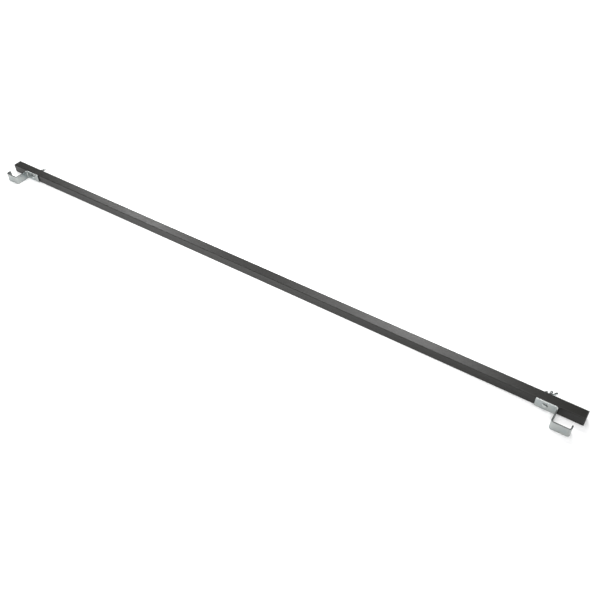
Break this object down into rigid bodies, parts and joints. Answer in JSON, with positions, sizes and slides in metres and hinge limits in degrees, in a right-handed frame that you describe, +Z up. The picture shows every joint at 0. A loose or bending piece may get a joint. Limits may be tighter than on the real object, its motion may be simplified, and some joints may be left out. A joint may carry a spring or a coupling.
{
  "type": "magnetic nail sweeper",
  "caption": "Long square magnetic bar with a bent-strip hook bracket bolted near each end by a carriage bolt and wing nut, for picking up nails",
  "frame": {"origin": "middle of the tube's underside, halfway between the two ends", "axes": "+X along the bar, +Y the sweeping side that the wing nuts are on, -Y the hook side, +Z up with the bar lying on one flat of its tube"},
  "size_m": [1.8288, 0.0899, 0.0254],
  "materials": {
    "tube_black": "satin",
    "plug_black": "satin",
    "bracket_zinc": "satin",
    "bolt_zinc": "satin",
    "washer_zinc": "satin",
    "keeper_steel": "satin",
    "magnet_ferrite": "matte",
    "packing_foam": "matte",
    "stop_plastic": "matte"
  },
  "bodies": {
    "bar": {"housing_tube": "tube_black", "end_plug_left": "plug_black", "end_plug_right": "plug_black", "keeper_bar": "keeper_steel", "packing_strip": "packing_foam", "pack_stop_left": "stop_plastic", "pack_stop_right": "stop_plastic", "magnet_01": "magnet_ferrite", "magnet_02": "magnet_ferrite", "magnet_03": "magnet_ferrite", "magnet_04": "magnet_ferrite", "magnet_05": "magnet_ferrite", "magnet_06": "magnet_ferrite", "magnet_07": "magnet_ferrite", "magnet_08": "magnet_ferrite", "magnet_09": "magnet_ferrite", "magnet_10": "magnet_ferrite", "magnet_11": "magnet_ferrite", "magnet_12": "magnet_ferrite", "magnet_13": "magnet_ferrite", "magnet_14": "magnet_ferrite", "magnet_15": "magnet_ferrite", "magnet_16": "magnet_ferrite", "magnet_17": "magnet_ferrite", "magnet_18": "magnet_ferrite", "magnet_19": "magnet_ferrite", "magnet_20": "magnet_ferrite", "magnet_21": "magnet_ferrite", "magnet_22": "magnet_ferrite", "magnet_23": "magnet_ferrite", "magnet_24": "magnet_ferrite", "magnet_25": "magnet_ferrite", "magnet_26": "magnet_ferrite", "magnet_27": "magnet_ferrite", "magnet_28": "magnet_ferrite", "magnet_29": "magnet_ferrite", "magnet_30": "magnet_ferrite", "magnet_31": "magnet_ferrite", "magnet_32": "magnet_ferrite", "magnet_33": "magnet_ferrite"},
    "left_hook": {"hook_bracket_left": "bracket_zinc", "carriage_bolt_left": "bolt_zinc"},
    "left_washers": {"flat_washer_left": "washer_zinc", "lock_washer_left": "washer_zinc"},
    "left_nut": {"wing_nut_left": "bolt_zinc"},
    "right_hook": {"hook_bracket_right": "bracket_zinc", "carriage_bolt_right": "bolt_zinc"},
    "right_washers": {"flat_washer_right": "washer_zinc", "lock_washer_right": "washer_zinc"},
    "right_nut": {"wing_nut_right": "bolt_zinc"}
  },
  "joints": [
    {"name": "left_hook_swivel", "type": "hinge", "parent": "bar", "child": "left_hook", "pos_m": [-0.8265, 0, 0.0127], "axis": [0, 1, 0], "continuous": true},
    {"name": "left_nut_travel", "type": "slide", "parent": "left_hook", "child": "left_washers", "axis": [0, 1, 0], "range_m": [0, 0.01]},
    {"name": "left_nut_spin", "type": "hinge", "parent": "left_washers", "child": "left_nut", "pos_m": [-0.8265, 0, 0.0127], "axis": [0, 1, 0], "range_deg": [0, 2835]},
    {"name": "right_hook_swivel", "type": "hinge", "parent": "bar", "child": "right_hook", "pos_m": [0.8265, 0, 0.0127], "axis": [0, 1, 0], "continuous": true},
    {"name": "right_nut_travel", "type": "slide", "parent": "right_hook", "child": "right_washers", "axis": [0, 1, 0], "range_m": [0, 0.01]},
    {"name": "right_nut_spin", "type": "hinge", "parent": "right_washers", "child": "right_nut", "pos_m": [0.8265, 0, 0.0127], "axis": [0, 1, 0], "range_deg": [0, 2835]}
  ],
  "couplings": [
    {"joint": "left_nut_spin", "follows": "left_nut_travel", "rad_per_m": 4947.4},
    {"joint": "right_nut_spin", "follows": "right_nut_travel", "rad_per_m": 4947.4}
  ]
}
